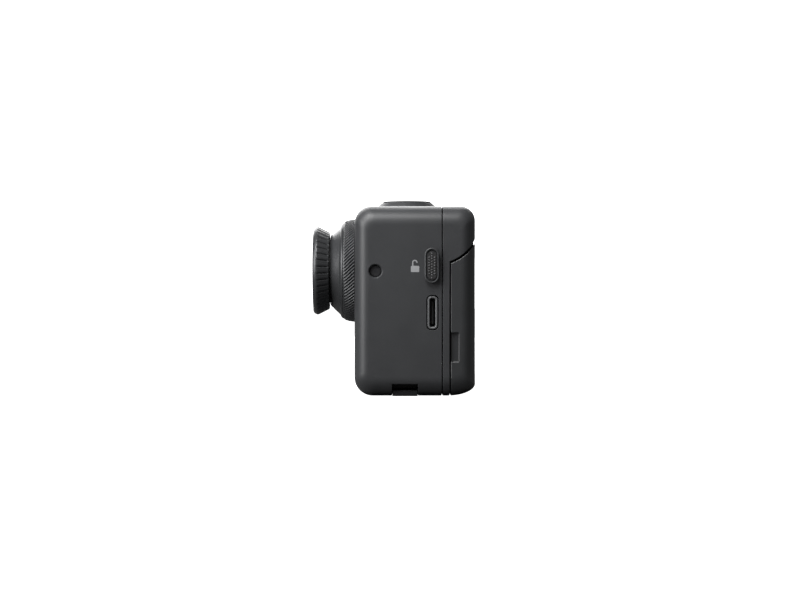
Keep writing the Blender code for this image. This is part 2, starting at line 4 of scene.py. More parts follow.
import bmesh
import bpy
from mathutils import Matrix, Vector

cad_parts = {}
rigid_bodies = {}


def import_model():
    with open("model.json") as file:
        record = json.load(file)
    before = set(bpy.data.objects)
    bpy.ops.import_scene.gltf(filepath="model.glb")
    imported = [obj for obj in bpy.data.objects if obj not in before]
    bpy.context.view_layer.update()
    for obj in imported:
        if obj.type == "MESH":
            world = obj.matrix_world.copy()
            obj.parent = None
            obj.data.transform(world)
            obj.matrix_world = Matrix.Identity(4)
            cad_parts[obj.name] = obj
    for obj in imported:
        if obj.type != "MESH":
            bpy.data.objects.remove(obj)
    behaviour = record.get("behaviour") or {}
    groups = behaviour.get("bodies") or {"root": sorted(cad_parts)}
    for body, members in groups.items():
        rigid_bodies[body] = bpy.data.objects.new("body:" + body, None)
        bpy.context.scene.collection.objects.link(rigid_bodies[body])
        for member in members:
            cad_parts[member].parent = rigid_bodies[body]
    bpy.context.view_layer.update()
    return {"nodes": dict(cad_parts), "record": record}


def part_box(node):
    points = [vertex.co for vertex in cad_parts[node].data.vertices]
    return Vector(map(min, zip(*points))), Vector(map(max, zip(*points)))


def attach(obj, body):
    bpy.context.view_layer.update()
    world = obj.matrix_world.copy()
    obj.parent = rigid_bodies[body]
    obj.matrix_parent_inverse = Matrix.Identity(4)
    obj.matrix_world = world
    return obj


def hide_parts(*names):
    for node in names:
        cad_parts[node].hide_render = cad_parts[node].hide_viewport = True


for leftover in list(bpy.data.objects):
    bpy.data.objects.remove(leftover, do_unlink=True)
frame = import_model()

# Lengths are in millimetres, and place() turns them into metres. The lens looks along -X.
MM = 0.001


def extent(node):
    """The node's lowest and highest corner, in millimetres."""
    low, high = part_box(node)
    return low / MM, high / MM


FRONT_BOX, REAR_BOX, SCREEN_BOX = extent("front_housing"), extent("rear_housing"), extent("screen_shell")
FRONT_X, REAR_X = FRONT_BOX[0].x, REAR_BOX[1].x
TOP_Z, HALF_WIDTH = FRONT_BOX[1].z, FRONT_BOX[1].y
FRONT_SEAM, REAR_SEAM = FRONT_BOX[1].x, REAR_BOX[0].x
SCREEN_FRONT = SCREEN_BOX[0].x
WALL = 1.5
DOOR_GAP = 0.25
CORNERS = {"rear_top": (4.0, 4.0), "front_top": (4.7, 4.7), "front_low": (5.0, 5.0), "rear_low": (7.45, 3.3)}
SIDE_ROUND_X, SIDE_ROUND_Z, SIDE_ROUND_Y = 4.0, 5.4, 7.0
ROUND_POWER = 2 / 2.3
CORNER_STEPS, SIDE_STEPS = 12, 12
FLAT_AREA = 3e-6
ARC_X, ARC_Z, ARC_RADIUS, ARC_GAP = 8.0, 48.5, 12.75, 0.6

GUARD_BOX, RING_BOX = extent("guard_ring"), extent("lens_base_ring")
LENS_Y = (GUARD_BOX[0].y + GUARD_BOX[1].y) / 2
LENS_Z = (GUARD_BOX[0].z + GUARD_BOX[1].z) / 2
SHAFT_BOX = extent("hinge_shaft")
HINGE_X = (SHAFT_BOX[0].x + SHAFT_BOX[1].x) / 2
HINGE_Z = (SHAFT_BOX[0].z + SHAFT_BOX[1].z) / 2


def middle(node):
    low, high = extent(node)
    return (low + high) / 2


# ---------------------------------------------------------------- materials


def node_of(material, kind, **values):
    node = material.node_tree.nodes.new(kind)
    for name, value in values.items():
        if name in node.inputs:
            node.inputs[name].default_value = value
        else:
            setattr(node, name, value)
    return node


def surface(name, colour, roughness, metallic=0.0, grain=0.25, bump=0.12, mottle=0.10, coat=0.0,
            specular=0.5):
    """A Principled surface with mottled colour, uneven roughness and a fine grain, grain in millimetres."""
    material = bpy.data.materials.new(name)
    material.use_nodes = True
    links = material.node_tree.links
    shader = material.node_tree.nodes["Principled BSDF"]
    shader.inputs["Metallic"].default_value = metallic
    shader.inputs["Coat Weight"].default_value = coat
    shader.inputs["Specular IOR Level"].default_value = specular
    place_node = node_of(material, "ShaderNodeTexCoord")
    cloud = node_of(material, "ShaderNodeTexNoise", Scale=180.0, Detail=4.0)
    links.new(place_node.outputs["Object"], cloud.inputs["Vector"])
    mix = node_of(material, "ShaderNodeMix", data_type="RGBA")
    mix.inputs[6].default_value = (*[c * (1 - mottle) for c in colour], 1)
    mix.inputs[7].default_value = (*[min(1, c * (1 + mottle)) for c in colour], 1)
    links.new(cloud.outputs["Fac"], mix.inputs[0])
    links.new(mix.outputs[2], shader.inputs["Base Color"])
    spread = node_of(material, "ShaderNodeMapRange")
    spread.inputs["To Min"].default_value = max(0.02, roughness * 0.88)
    spread.inputs["To Max"].default_value = min(1.0, roughness * 1.12)
    links.new(cloud.outputs["Fac"], spread.inputs["Value"])
    links.new(spread.outputs["Result"], shader.inputs["Roughness"])
    if bump:
        fine = node_of(material, "ShaderNodeTexNoise", Scale=1.0 / (grain * MM), Detail=2.0)
        links.new(place_node.outputs["Object"], fine.inputs["Vector"])
        relief = node_of(material, "ShaderNodeBump", Strength=bump, Distance=0.00004)
        links.new(fine.outputs["Fac"], relief.inputs["Height"])
        links.new(relief.outputs["Normal"], shader.inputs["Normal"])
    return material


def brushed(name, colour, roughness, along):
    """Metal with fine lines along one axis."""
    material = surface(name, colour, roughness, metallic=1.0, bump=0)
    links = material.node_tree.links
    place_node = node_of(material, "ShaderNodeTexCoord")
    squeeze = node_of(material, "ShaderNodeMapping")
    squeeze.inputs["Scale"].default_value = [60.0 if axis == along else 6000.0 for axis in "XYZ"]
    lines = node_of(material, "ShaderNodeTexNoise", Scale=1.0, Detail=3.0)
    relief = node_of(material, "ShaderNodeBump", Strength=0.15, Distance=0.00003)
    links.new(place_node.outputs["Object"], squeeze.inputs["Vector"])
    links.new(squeeze.outputs["Vector"], lines.inputs["Vector"])
    links.new(lines.outputs["Fac"], relief.inputs["Height"])
    links.new(relief.outputs["Normal"], material.node_tree.nodes["Principled BSDF"].inputs["Normal"])
    return material


def clear_glass(name, tint, coat_tint):
    """Coated optical glass: clear, with a faint coloured sheen at a slant."""
    material = bpy.data.materials.new(name)
    material.use_nodes = True
    links = material.node_tree.links
    shader = material.node_tree.nodes["Principled BSDF"]
    shader.inputs["Base Color"].default_value = (*tint, 1)
    shader.inputs["Roughness"].default_value = 0.02
    shader.inputs["IOR"].default_value = 1.5
    shader.inputs["Transmission Weight"].default_value = 1.0
    facing = node_of(material, "ShaderNodeLayerWeight", Blend=0.35)
    mix = node_of(material, "ShaderNodeMix", data_type="RGBA")
    mix.inputs[6].default_value = (*coat_tint, 1)
    mix.inputs[7].default_value = (0.9, 0.95, 1.0, 1)
    links.new(facing.outputs["Facing"], mix.inputs[0])
    links.new(mix.outputs[2], shader.inputs["Specular Tint"])
    return material


def perforated(name, colour, pitch):
    """Fine woven metal mesh, with painted shade in its holes; pitch in millimetres."""
    material = surface(name, colour, 0.45, metallic=0.8, bump=0)
    links = material.node_tree.links
    shader = material.node_tree.nodes["Principled BSDF"]
    place_node = node_of(material, "ShaderNodeTexCoord")
    cells = node_of(material, "ShaderNodeTexVoronoi", Scale=1.0 / (pitch * MM))
    cells.inputs["Randomness"].default_value = 0.0
    ramp = node_of(material, "ShaderNodeValToRGB")
    # Near-black in the holes: painted shade of the cavity behind the mesh.
    ramp.color_ramp.elements[0].position = 0.30
    ramp.color_ramp.elements[0].color = (0.004, 0.004, 0.004, 1)
    ramp.color_ramp.elements[1].position = 0.42
    ramp.color_ramp.elements[1].color = (*colour, 1)
    links.new(place_node.outputs["Object"], cells.inputs["Vector"])
    links.new(cells.outputs["Distance"], ramp.inputs["Fac"])
    links.new(ramp.outputs["Color"], shader.inputs["Base Color"])
    return material


CHARCOAL = (0.026, 0.027, 0.029)
GRAPHITE = (0.021, 0.022, 0.0235)
LOOKS = {
    "housing": surface("moulded_charcoal", CHARCOAL, 0.47, grain=0.16, bump=0.10, mottle=0.06),
    "screen_tray": surface("moulded_graphite", GRAPHITE, 0.45, grain=0.16, bump=0.10, mottle=0.06),
    "soft_black": surface("soft_rubber", (0.010, 0.010, 0.011), 0.62, grain=0.12, bump=0.15),
    "lens_ring": surface("satin_anodised", (0.034, 0.035, 0.037), 0.36, metallic=0.35, grain=0.08, bump=0.06),
    "glass": clear_glass("coated_glass", (0.97, 0.98, 1.0), (0.55, 0.45, 0.95)),
    "screen_glass": surface("black_cover_glass", (0.004, 0.004, 0.005), 0.06, bump=0, coat=0.6, mottle=0.2),
    "steel": brushed("satin_steel", (0.50, 0.51, 0.53), 0.32, "Y"),
    "port_metal": surface("port_metal", (0.105, 0.107, 0.11), 0.45, metallic=0.35, grain=0.06, bump=0.05),
    "mesh": perforated("acoustic_mesh", (0.05, 0.05, 0.053), 0.16),
    "board": surface("solder_mask", (0.012, 0.085, 0.04), 0.42, grain=0.5, bump=0.15, mottle=0.3),
    "chip": surface("chip_resin", (0.022, 0.022, 0.024), 0.40, grain=0.3, bump=0.1),
    "battery_wrap": surface("battery_sleeve", (0.07, 0.071, 0.075), 0.5, grain=0.4, bump=0.1),
    "magnet": surface("nickel_plate", (0.5, 0.49, 0.47), 0.22, metallic=1.0, grain=0.3, bump=0.05),
    "alloy": surface("blasted_alloy", (0.40, 0.41, 0.43), 0.42, metallic=1.0, grain=0.15, bump=0.25),
    "hinge_alloy": surface("black_alloy", (0.030, 0.031, 0.033), 0.38, metallic=0.5, grain=0.12, bump=0.12),
    # Gold darkened well below its own colour: painted shade for contacts deep inside the port.
    "contact": surface("shade_darkened_gold", (0.20, 0.14, 0.06), 0.40, metallic=1.0, grain=0.2, bump=0.05),
    "pad_base": surface("pad_rubber", (0.006, 0.006, 0.0065), 0.7, grain=0.1, bump=0.1),
    # The dots' lighter grey is a painted highlight for the light that the dot tops catch.
    "pad_dot": surface("dot_rubber_painted_highlight", (0.085, 0.085, 0.088), 0.5, grain=0.1, bump=0.05),
    "print": surface("grey_print", (0.24, 0.242, 0.25), 0.6, grain=0.1, bump=0.08, mottle=0.04),
}


# ---------------------------------------------------------------- mesh building


def place(axis, along, u, v):
    if axis == "X":
        return Vector((along, u, v)) * MM
    if axis == "Y":
        return Vector((u, along, v)) * MM
    return Vector((u, v, along)) * MM


def raw(name, bm):
    bmesh.ops.recalc_face_normals(bm, faces=bm.faces)
    mesh = bpy.data.meshes.new(name)
    bm.to_mesh(mesh)
    bm.free()
    obj = bpy.data.objects.new(name, mesh)
    bpy.context.scene.collection.objects.link(obj)
    return obj


def settle(obj):
    """Bakes the modifiers, and gives each corner of a wide flat face that face's own normal."""
    bpy.context.view_layer.update()
    graph = bpy.context.evaluated_depsgraph_get()
    ready = obj.evaluated_get(graph)
    mesh = bpy.data.meshes.new_from_object(ready, preserve_all_data_layers=True, depsgraph=graph)
    obj.modifiers.clear()
    obj.data = mesh
    normals = [corner.vector.copy() for corner in mesh.corner_normals]
    for face in mesh.polygons:
        turned_away = [k for k in face.loop_indices if normals[k].angle(face.normal) > math.radians(1)]
        if face.area > FLAT_AREA and len(turned_away) <= 0.2 * face.loop_total:
            for k in face.loop_indices:
                normals[k] = face.normal.copy()
    mesh.normals_split_custom_set(normals)


def piece(obj, look, body, nodes=(), sharp=38):
    """Gives a finished mesh its material, its body and the CAD nodes that it stands for."""
    obj.data.materials.clear()
    obj.data.materials.append(LOOKS[look])
    obj.data.shade_smooth()
    obj.data.set_sharp_from_angle(angle=math.radians(sharp))
    even = obj.modifiers.new("even_normals", "WEIGHTED_NORMAL")
    even.keep_sharp = True
    settle(obj)
    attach(obj, body)
    if nodes:
        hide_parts(*nodes)
    return obj


def loft(name, axis, rings, closed=False):
    """Rings of (along, outline); an outline of one point is a pole. The ends are capped unless closed."""
    bm = bmesh.new()
    made = [[bm.verts.new(place(axis, along, u, v)) for u, v in outline] for along, outline in rings]
    pairs = list(zip(made, made[1:])) + ([(made[-1], made[0])] if closed else [])
    for first, second in pairs:
        count = max(len(first), len(second))
        for i in range(count):
            j = (i + 1) % count
            corners = [first[i % len(first)], first[j % len(first)]]
            corners += [second[j % len(second)], second[i % len(second)]]
            bm.faces.new(list(dict.fromkeys(corners)))
    if not closed:
        for end in (made[0], made[-1]):
            if len(end) > 2:
                bm.faces.new(end)
    return raw(name, bm)


def soften(outline, radius, steps=3, ends=True):
    """Rounds each corner of an outline; with ends off, its first and last point stay."""
    softened = []
    count = len(outline)
    for i, corner in enumerate(outline):
        if not ends and i in (0, count - 1):
            softened.append(corner)
            continue
        here = Vector(corner)
        before, after = Vector(outline[i - 1]), Vector(outline[(i + 1) % count])
        cut_in = min(radius, 0.45 * (before - here).length, 0.45 * (after - here).length)
        start = here + (before - here).normalized() * cut_in
        end = here + (after - here).normalized() * cut_in
        for k in range(steps + 1):
            t = k / steps
            softened.append(tuple((1 - t) ** 2 * start + 2 * t * (1 - t) * here + t * t * end))
    return softened


def circle(centre, radius, sides):
    turns = [2 * math.pi * k / sides for k in range(sides)]
    return [(centre[0] + radius * math.cos(t), centre[1] + radius * math.sin(t)) for t in turns]


def turned(name, profile, axis, centre, sides=96):
    """A profile of (along, radius) turned about an axis; radius 0 at both ends closes it."""
    closed = profile[0][1] > 0
    rings = [(along, circle(centre, radius, sides) if radius > 0 else [centre]) for along, radius in profile]
    return loft(name, axis, rings, closed)


def arc(centre, radii, start, end, steps):
    turns = [math.radians(start + (end - start) * k / steps) for k in range(steps + 1)]
    return [(centre[0] + radii[0] * math.cos(t), centre[1] + radii[1] * math.sin(t)) for t in turns]


def pill(centre, size, radius, inset=0.0, steps=8):
    """A rounded rectangle about a centre, drawn in by inset."""
    half_u, half_v = size[0] / 2 - inset, size[1] / 2 - inset
    radius = min(max(radius - inset, 0.02), half_u, half_v)
    outline = []
    for u, v, start in ((1, 1, 0), (-1, 1, 90), (-1, -1, 180), (1, -1, 270)):
        corner = (centre[0] + u * (half_u - radius), centre[1] + v * (half_v - radius))
        outline += arc(corner, (radius, radius), start, start + 90, steps)
    return outline


def slab(name, axis, centre, size, radius, stations, closed=False):
    """A rounded rectangle lofted through (along, inset) stations."""
    rings = [(along, pill(centre, size, radius, inset)) for along, inset in stations]
    return loft(name, axis, rings, closed)


def prism(name, outline, axis, low, high):
    return loft(name, axis, [(low, outline), (high, outline)])


def block(name, xs, ys, zs):
    outline = [(xs[0], zs[0]), (xs[1], zs[0]), (xs[1], zs[1]), (xs[0], zs[1])]
    return prism(name, outline, "Y", ys[0], ys[1])


def disc(name, axis, centre, radius, low, high, sides=64):
    return prism(name, circle(centre, radius, sides), axis, low, high)


def carve(obj, steps):
    """Applies a list of (operation, tool) Booleans in order, and removes the tools."""
    for operation, tool in steps:
        modifier = obj.modifiers.new(tool.name, "BOOLEAN")
        modifier.operation = operation
        modifier.solver = "EXACT"
        modifier.object = tool
        bpy.context.view_layer.update()
        graph = bpy.context.evaluated_depsgraph_get()
        mesh = bpy.data.meshes.new_from_object(obj.evaluated_get(graph))
        obj.modifiers.clear()
        obj.data = mesh
        bpy.data.objects.remove(tool, do_unlink=True)
    return obj


def minus(*tools):
    return [("DIFFERENCE", tool) for tool in tools]


def edge_round(obj, width, segments=2, angle=50, weld=0.0):
    """Rounds the sharp edges a little, so that they catch the light. Weld first joins points that close."""
    if weld:
        obj.modifiers.new("weld", "WELD").merge_threshold = weld * MM
    bevel = obj.modifiers.new("edge_round", "BEVEL")
    bevel.width = width * MM
    bevel.segments = segments
    bevel.limit_method = "ANGLE"
    bevel.angle_limit = math.radians(angle)
    bevel.use_clamp_overlap = False
    return obj


# ---------------------------------------------------------------- housings


def side_outline(inset_x, inset_z):
    low_x, high_x, low_z, high_z = FRONT_X + inset_x, REAR_X - inset_x, inset_z, TOP_Z - inset_z
    outline = []
    for name, start in (("rear_top", 0), ("front_top", 90), ("front_low", 180), ("rear_low", 270)):
        radius_x = max(CORNERS[name][0] - 0.6 * inset_x, 2.0)
        radius_z = max(CORNERS[name][1] - 0.6 * inset_z, 2.0)
        x = high_x - radius_x if "rear" in name else low_x + radius_x
        z = high_z - radius_z if "top" in name else low_z + radius_z
        outline += arc((x, z), (radius_x, radius_z), start, start + 90, CORNER_STEPS)
    return outline


def housing_form(name, inset=0.0):
    half = HALF_WIDTH - inset
    stations = []
    for k in range(SIDE_STEPS + 1):
        turn = math.pi / 2 * k / SIDE_STEPS
        y = half - SIDE_ROUND_Y + SIDE_ROUND_Y * math.sin(turn) ** ROUND_POWER
        stations.append((y, 1 - math.cos(turn) ** ROUND_POWER if k < SIDE_STEPS else 1.0))
    stations = [(-y, share) for y, share in reversed(stations)] + stations
    rings = [(y, side_outline(inset + SIDE_ROUND_X * s, inset + SIDE_ROUND_Z * s)) for y, s in stations]
    return loft(name, "Y", rings)


def below_arc(name, low_x, radius):
    far_x = REAR_X + 1.1
    start = math.degrees(math.acos((far_x - ARC_X) / radius))
    end = math.degrees(math.acos((low_x - ARC_X) / radius))
    curve = arc((ARC_X, ARC_Z), (radius, radius), -start, -end, 40)
    return prism(name, [(low_x, -3.0), (far_x, -3.0)] + curve, "Y", -40, 40)


def seam_rib(name, side, room):
    """A rib that keeps light out of the seam round the screen, or the groove that it runs in."""
    near_x, near_radius = SCREEN_FRONT - 0.3, ARC_RADIUS - ARC_GAP / 2
    rise, end_x, low_z = 0.6 + room, 18.8 + 0.3 * room, 0.9 - room

    def curve(low_x, radius):
        start = math.degrees(math.acos((low_x - ARC_X) / radius))
        end = math.degrees(math.acos((end_x - ARC_X) / radius))
        return arc((ARC_X, ARC_Z), (radius, radius), -start, -end, 30)

    inner = [(near_x - 0.4, low_z)] + curve(near_x - 0.4, near_radius - 0.4)
    outer = [(near_x + rise, low_z)] + curve(near_x + rise, near_radius + rise)
    ys = sorted((side * (27.4 - room), side * (28.2 + room)))
    return prism(name, inner + outer[::-1], "Y", *ys)


def front_shell():
    shell = housing_form("front_shell")
    hollow = housing_form("front_hollow", WALL)
    carve(hollow, minus(block("rib", (-5.6, 5.2), (-50, 50), (-5, 4.9))))
    usb, mic = middle("usb_shell"), middle("mic_mesh")
    window, power = extent("display_window"), middle("power_button")
    button = middle("shutter_button")
    plate = extent("mount_plate")
    mic_cut = [(-38, 0), (-38, 4.0), (-35.98, 1.98), (-35.8, 1.76), (-35.55, 1.66), (-33, 1.64), (-33, 0)]
    glass_size = (window[1].y - window[0].y + 0.5, window[1].z - window[0].z + 0.5)
    glass_at = ((window[1].y + window[0].y) / 2, (window[1].z + window[0].z) / 2)
    carve(shell, [("INTERSECT", block("half", (-30, FRONT_SEAM), (-50, 50), (-5, 60)))] + minus(
        hollow,
        disc("lens_cut", "X", (LENS_Y, LENS_Z), 12.6, -16, -11, 96),
        prism("window_cut", pill(glass_at, glass_size, 2.0), "X", -16, -11),
        disc("shutter_cut", "Z", (button.x, button.y), 8.0, 48, 54),
        disc("power_cut", "Y", (power.x, power.z), 2.7, 33, 38),
        turned("mic_cut", mic_cut, "Y", (mic.x, mic.z), 48),
        block("slider_cut", (6.2, 8.3), (-38, -33), (31.6, 37.6)),
        prism("usb_cut", pill((usb.x, usb.z), (3.3, 9.5), 1.3), "Y", -38, -33),
        block("groove_cut", (-3.6, 3.5), (plate[0].y - 0.3, -20), (-3, 1.96)),
        block("groove_end_cut", (-3.6, 3.5), (20, plate[1].y + 0.3), (-3, 1.96)),
        block("latch_cut_left", (-3.6, 3.5), (-40, -27), (-3, 3.37)),
        block("latch_cut_right", (-3.6, 3.5), (27, 40), (-3, 3.37)),
    ))
    edge_round(shell, 0.14)
    low, high = extent("battery_door")
    door_xs, door_zs = (low.x - DOOR_GAP, high.x + DOOR_GAP), (low.z - DOOR_GAP, high.z + DOOR_GAP)
    speakers = []
    for k in range(3):
        outline = pill((24.0, 9.7 + 2.2 * k), (10, 1.0), 0.48)
        speakers.append(prism(f"speaker_cut_{k}", outline, "X", -16, -11))
    carve(shell, minus(
        block("land_cut", (plate[0].x - 0.01, plate[1].x + 0.01), (-21, 21), (-3, 1.955)),
        disc("magnet_cut_left", "Z", (0, -14), 3.2, -1, 3.8),
        disc("magnet_cut_right", "Z", (0, 14), 3.2, -1, 3.8),
        block("door_cut", door_xs, (33, 40), door_zs),
        block("nail_cut", (0.6, 3.4), (35.2, 40), (high.z, high.z + 1.4)),
        *speakers,
    ))
    piece(shell, "housing", "camera_body", ["front_housing"])


def rear_shell():
    shell = housing_form("rear_shell")
    reach = SHAFT_BOX[1].y
    pockets = []
    for side in (-1, 1):
        ys = (side * 9.9 + side * 33.0) / 2
        pockets.append(prism(f"pocket_{side}", pill((ys, 45.8), (23.1, 8.8), 1.5), "X", 9.0, 17.4))
    carve(shell, [("INTERSECT", block("half", (REAR_SEAM, 30), (-50, 50), (-5, 60)))] + minus(
        below_arc("screen_cut", SCREEN_FRONT - 0.3, ARC_RADIUS - ARC_GAP / 2),
        block("hinge_cut", (11.6, 30), (-8.4, 8.4), (20, 60)),
    ))
    edge_round(shell, 0.16)
    bore = disc("shaft_cut", "Y", (HINGE_X, HINGE_Z), 1.5, -reach, reach, 40)
    carve(shell, minus(*pockets, bore) + [("UNION", seam_rib(f"rib_{side}", side, 0)) for side in (-1, 1)])
    piece(shell, "housing", "camera_body", ["rear_housing"])


def screen_tray():
    tray = housing_form("screen_tray")
    glass_box = extent("screen_glass")
    glass_at = (0.0, (glass_box[0].z + glass_box[1].z) / 2)
    glass_size = (glass_box[1].y - glass_box[0].y + 0.4, glass_box[1].z - glass_box[0].z + 0.4)
    carve(tray, [("INTERSECT", below_arc("tray_form", SCREEN_FRONT, ARC_RADIUS + ARC_GAP / 2))] + minus(
        prism("tray_hollow", pill((0, 19.3), (65, 32.6), 2.5), "X", 13.4, 18.1),
        prism("glass_cut", pill(glass_at, glass_size, 2.7), "X", 17.9, 21.0),
        block("arm_cut", (13.4, 17.4), (-8.4, 8.4), (34, 42)),
        prism("nail_cut_left", pill((12.3, 13.4), (4.6, 8.0), 0.4), "Y", -40, -35.2),
        prism("nail_cut_right", pill((12.3, 13.4), (4.6, 8.0), 0.4), "Y", 35.2, 40),
        *[seam_rib(f"rib_groove_{side}", side, 0.3) for side in (-1, 1)],
    ))
    edge_round(tray, 0.16, weld=0.05)
    piece(tray, "screen_tray", "flip_screen", ["screen_shell"])
    low, high = glass_box[0].x, glass_box[1].x
    stations = [(low, 0.0), (high - 0.3, 0.0), (high - 0.12, 0.08), (high, 0.32)]
    cover = slab("cover_glass", "X", glass_at, (glass_size[0] - 0.4, glass_size[1] - 0.4), 2.5, stations)
    piece(cover, "screen_glass", "flip_screen", ["screen_glass"])


def hinge_arm():
    radius, half = 3.4, 8.0
    reach = math.degrees(math.asin(1.6 / radius))
    outline = arc((HINGE_X, HINGE_Z), (radius, radius), -90 + reach, 270 - reach, 48)
    outline += [(HINGE_X - 1.6, 33.0), (HINGE_X + 1.6, 33.0)]
    arm = prism("hinge_barrel", outline, "Y", -half, half)
    carve(arm, minus(disc("bore", "Y", (HINGE_X, HINGE_Z), 1.5, -12, 12, 40)))
    edge_round(arm, 0.2)
    piece(arm, "hinge_alloy", "flip_screen", ["hinge_arm"])


# ---------------------------------------------------------------- lens


def base_ring():
    """The ring on the housing, with slanting grooves cut all the way round it."""
    grooves, per_groove, depth = 92, 8, 0.26
    front, back = RING_BOX[0].x, -14.0
    sides = grooves * per_groove
    profile = [(front + 0.30, 0.0), (front + 0.45, 0.5), (front + 0.65, 1.0), (back, 1.0)]
    outer = [(-17.2, 13.40), (-17.12, 13.5), (-16.6, 13.86), (-15.6, 14.18), (-14.0, 14.38)]
    inner = [(-14.0, 12.3), (-12.2, 12.3), (-12.2, 11.3), (-17.2, 11.3)]

    def blend(points, x):
        for (x0, y0), (x1, y1) in zip(points, points[1:]):
            if x <= x1:
                return y0 + (y1 - y0) * max(0.0, (x - x0) / (x1 - x0))
        return points[-1][1]

    rings = []
    count = 26
    for k in range(count + 1):
        x = front + (back - front) * k / count
        radius, share = blend(outer, x), blend(profile, x)
        ring = []
        for i in range(sides):
            turn = 2 * math.pi * i / sides - (x - front) / 15.0
            wave = math.cos(2 * math.pi * i / per_groove)
            r = radius - depth * share * max(0.0, wave + 0.5) / 1.5
            ring.append((LENS_Y + r * math.cos(turn), LENS_Z + r * math.sin(turn)))
        rings.append((x, ring))
    shift = (back - front) / 15.0
    for x, r in inner:
        turns = [2 * math.pi * i / sides - shift * (x - inner[-1][0]) / (back - front) for i in range(sides)]
        rings.append((x, [(LENS_Y + r * math.cos(t), LENS_Z + r * math.sin(t)) for t in turns]))
    ring = loft("grooved_ring", "X", rings, closed=True)
    piece(ring, "lens_ring", "camera_body", ["lens_base_ring"], sharp=50)


def lens_body():
    at = (LENS_Y, LENS_Z)
    cone = [(-20.8, 9.15), (-20.8, 9.83), (-18.1, 12.33), (-17.9, 12.85), (-17.7, 13.17), (-17.26, 13.44)]
    cone += [(-17.26, 8.2), (-20.2, 8.2), (-20.2, 9.15)]
    neck = turned("smooth_cone", soften(cone, 0.14, 3), "X", at, 128)
    piece(neck, "lens_ring", "camera_body", ["lens_cone"])
    steps = []
    for k in range(7):
        x = -18.6 + 0.45 * k
        steps += [(x, 6.9 - 0.22 * k), (x, 6.68 - 0.22 * k)]
    tube = [(-23.6, 7.0), (-23.6, 8.85), (-20.5, 8.85), (-20.5, 7.9), (-3.0, 7.9), (-3.0, 5.3), (-14.8, 5.3)]
    tube += list(reversed(steps)) + [(-18.9, 7.0)]
    barrel = turned("baffled_barrel", soften(tube, 0.08, 2), "X", at, 96)
    piece(barrel, "soft_black", "camera_body", ["lens_barrel"])
    crown = 1.2
    dome = []
    for k in range(17):
        turn = crown * k / 16
        share = (1 - math.cos(turn)) / (1 - math.cos(crown))
        dome.append((-23.3 + 2.1 * share, 6.7 * math.sin(turn) / math.sin(crown)))
    back = []
    for k in range(8, -1, -1):
        turn = math.pi / 2 * k / 8
        back.append((-19.7 - math.cos(turn), 5.6 * math.sin(turn)))
    lens = turned("front_lens", dome + [(-19.7, 6.7)] + back, "X", at, 96)
    piece(lens, "glass", "camera_body", ["front_element"])


def lens_guard():
    """The fluted ring that twists off, with its window."""
    flutes, per_flute, depth = 40, 14, 0.26
    sides = flutes * per_flute
    outer = [(-25.3, 10.5), (-25.42, 10.8), (-25.6, 10.92), (-25.6, 11.45), (-25.5, 11.75), (-25.2, 12.02)]
    outer += [(-24.9, 12.2), (-24.6, 12.3), (-24.4, 12.32), (-24.2, 12.28), (-23.9, 12.15), (-23.2, 11.8)]
    outer += [(-22.6, 11.5), (-22.1, 11.25), (-21.6, 11.0), (-21.3, 10.86), (-21.15, 10.78), (-21.1, 10.6)]
    inner = [(-21.1, 9.3), (-21.2, 9.2), (-23.3, 9.2), (-23.3, 10.5)]
    rings = []
    for x, radius in outer:
        share = min(1.0, max(0.0, (x + 24.5) / 0.35), max(0.0, (-21.2 - x) / 0.3))
        ring = []
        for i in range(sides):
            phase = (i % per_flute) / per_flute
            fall = max(0.0, 1 - abs(phase - 0.5) / 0.16)
            r = radius - depth * share * (fall + 0.25 * phase)
            turn = 2 * math.pi * i / sides
            ring.append((LENS_Y + r * math.cos(turn), LENS_Z + r * math.sin(turn)))
        rings.append((x, ring))
    rings += [(x, circle((LENS_Y, LENS_Z), r, sides)) for x, r in inner]
    guard = loft("fluted_guard", "X", rings, closed=True)
    piece(guard, "lens_ring", "lens_guard", ["guard_ring"], sharp=60)
    at = (LENS_Y, LENS_Z)
    window = [(-24.1, 0), (-24.1, 10.0), (-24.2, 10.2), (-24.75, 10.2), (-24.9, 10.0), (-24.9, 0)]
    piece(turned("guard_window", window, "X", at, 96), "glass", "lens_guard", ["guard_glass"])
    hoop = soften([(-25.5, 9.5), (-25.5, 10.25), (-25.1, 10.25), (-25.1, 9.5)], 0.1, 3)
    retainer = turned("window_retainer", hoop, "X", at, 96)
    piece(retainer, "lens_ring", "lens_guard", ["guard_retaining_ring"])


# ---------------------------------------------------------------- controls


def shutter():
    centre = middle("shutter_button")
    at = (centre.x, centre.y)
    rim = [(49.4, 2.8), (49.4, 7.7), (52.25, 7.7), (52.25, 8.45), (53.3, 8.45), (54.4, 7.38)]
    rim += [(54.4, 7.22), (50.3, 7.22), (50.3, 2.8)]
    collar = turned("button_collar", soften(rim, 0.08), "Z", at)
    piece(collar, "housing", "camera_body", ["shutter_collar"])
    dish = [(54.6 + 0.18 * (k / 10) ** 2, 6.0 * k / 10) for k in range(11)]
    side = [(54.8, 6.3), (54.8, 6.93), (51.2, 6.93), (51.2, 2.3), (48.6, 2.3)]
    button = turned("dished_button", dish + soften(side, 0.12, 3, ends=False) + [(48.6, 0)], "Z", at)
    piece(button, "soft_black", "shutter", ["shutter_button"])


def power_key():
    at = middle("power_button")
    top = extent("power_button")[1].y
    profile = [(top - 0.12, 0), (top - 0.1, 1.0), (top, 1.7), (top - 0.03, 2.0), (top - 0.12, 2.2)]
    profile += [(top - 0.3, 2.36), (top - 0.6, 2.4), (33.6, 2.4), (33.6, 2.9), (33.0, 2.9), (33.0, 0)]
    key = turned("power_key", profile, "Y", (at.x, at.z), 64)
    piece(key, "soft_black", "power", ["power_button"])


